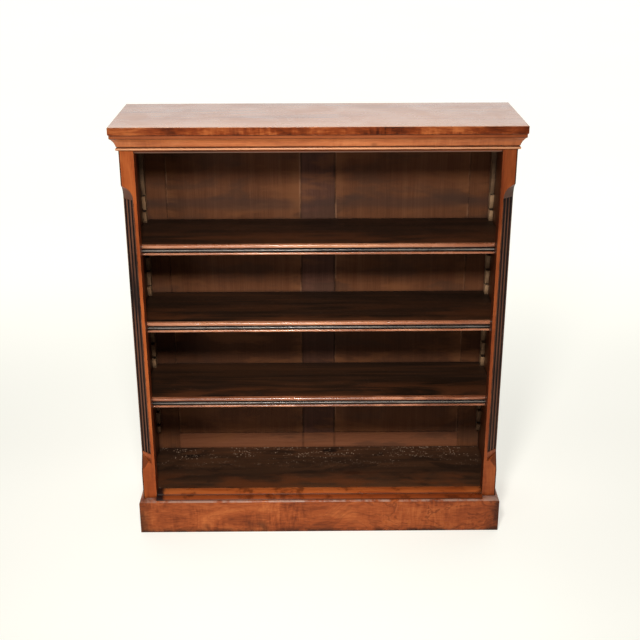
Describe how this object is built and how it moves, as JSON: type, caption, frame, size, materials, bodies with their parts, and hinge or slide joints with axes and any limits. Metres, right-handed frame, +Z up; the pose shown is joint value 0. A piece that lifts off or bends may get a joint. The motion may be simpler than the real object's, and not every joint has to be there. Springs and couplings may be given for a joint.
{
  "type": "open bookcase with adjustable shelves",
  "caption": "Low open bookcase with adjustable shelves on sawtooth racks, moulded cornice, fluted canted corners and a plain plinth.",
  "frame": {"origin": "on the floor, at the centre of the footprint", "axes": "+Z up, +Y towards the back, +X to the right of a person facing the front"},
  "size_m": [1.09, 0.322, 1.22],
  "materials": {
    "walnut": "french polished walnut, satin",
    "figured_walnut": "polished walnut with burr figure, semi gloss",
    "ebonised_wood": "black stained and polished wood, satin",
    "stained_shelf_wood": "dark brown stained boards, worn satin",
    "back_wood": "old stained boards, matt",
    "plain_softwood": "unfinished aged softwood, matt",
    "rack_wood": "plain hardwood, matt",
    "screw_steel": "darkened slotted steel screws"
  },
  "bodies": {
    "carcass": {"cornice_front": "walnut", "cornice_left": "walnut", "cornice_right": "walnut", "frieze_rail": "walnut", "corner_post_left": "walnut", "corner_post_right": "walnut", "side_board_left": "walnut", "side_board_right": "walnut", "bottom_moulding": "walnut", "top_board": "figured_walnut", "plinth_front": "figured_walnut", "plinth_left": "figured_walnut", "plinth_right": "figured_walnut", "fluted_strip_left": "ebonised_wood", "fluted_strip_right": "ebonised_wood", "bottom_board": "stained_shelf_wood", "back_head_rail": "back_wood", "back_foot_rail": "back_wood", "back_muntin": "back_wood", "back_stile_left": "back_wood", "back_stile_right": "back_wood", "back_panel_left": "back_wood", "back_panel_right": "back_wood", "plinth_back": "plain_softwood", "plinth_block_left": "plain_softwood", "plinth_block_right": "plain_softwood", "bearer_front": "plain_softwood", "bearer_left": "plain_softwood", "bearer_right": "plain_softwood", "rack_front_left": "rack_wood", "rack_front_right": "rack_wood", "rack_rear_left": "rack_wood", "rack_rear_right": "rack_wood", "rack_screws": "screw_steel"},
    "shelf_upper": {"shelf_board_upper": "stained_shelf_wood", "shelf_edging_upper": "walnut", "shelf_bead_upper": "ebonised_wood"},
    "cleat_upper_left": {"cleat_upper_left": "rack_wood"},
    "cleat_upper_right": {"cleat_upper_right": "rack_wood"},
    "shelf_middle": {"shelf_board_middle": "stained_shelf_wood", "shelf_edging_middle": "walnut", "shelf_bead_middle": "ebonised_wood"},
    "cleat_middle_left": {"cleat_middle_left": "rack_wood"},
    "cleat_middle_right": {"cleat_middle_right": "rack_wood"},
    "shelf_lower": {"shelf_board_lower": "stained_shelf_wood", "shelf_edging_lower": "walnut", "shelf_bead_lower": "ebonised_wood"},
    "cleat_lower_left": {"cleat_lower_left": "rack_wood"},
    "cleat_lower_right": {"cleat_lower_right": "rack_wood"}
  },
  "joints": [
    {"name": "shelf_upper_lift", "type": "slide", "parent": "carcass", "child": "shelf_upper", "axis": [0, 0, 1], "range_m": [0, 0.1407]},
    {"name": "cleat_upper_left_draw", "type": "slide", "parent": "carcass", "child": "cleat_upper_left", "axis": [1, 0, 0], "range_m": [0, 0.02]},
    {"name": "cleat_upper_right_draw", "type": "slide", "parent": "carcass", "child": "cleat_upper_right", "axis": [-1, 0, 0], "range_m": [0, 0.02]},
    {"name": "shelf_middle_lift", "type": "slide", "parent": "carcass", "child": "shelf_middle", "axis": [0, 0, 1], "range_m": [0, 0.1407]},
    {"name": "cleat_middle_left_draw", "type": "slide", "parent": "carcass", "child": "cleat_middle_left", "axis": [1, 0, 0], "range_m": [0, 0.02]},
    {"name": "cleat_middle_right_draw", "type": "slide", "parent": "carcass", "child": "cleat_middle_right", "axis": [-1, 0, 0], "range_m": [0, 0.02]},
    {"name": "shelf_lower_lift", "type": "slide", "parent": "carcass", "child": "shelf_lower", "axis": [0, 0, 1], "range_m": [0, 0.1407]},
    {"name": "cleat_lower_left_draw", "type": "slide", "parent": "carcass", "child": "cleat_lower_left", "axis": [1, 0, 0], "range_m": [0, 0.02]},
    {"name": "cleat_lower_right_draw", "type": "slide", "parent": "carcass", "child": "cleat_lower_right", "axis": [-1, 0, 0], "range_m": [0, 0.02]}
  ]
}
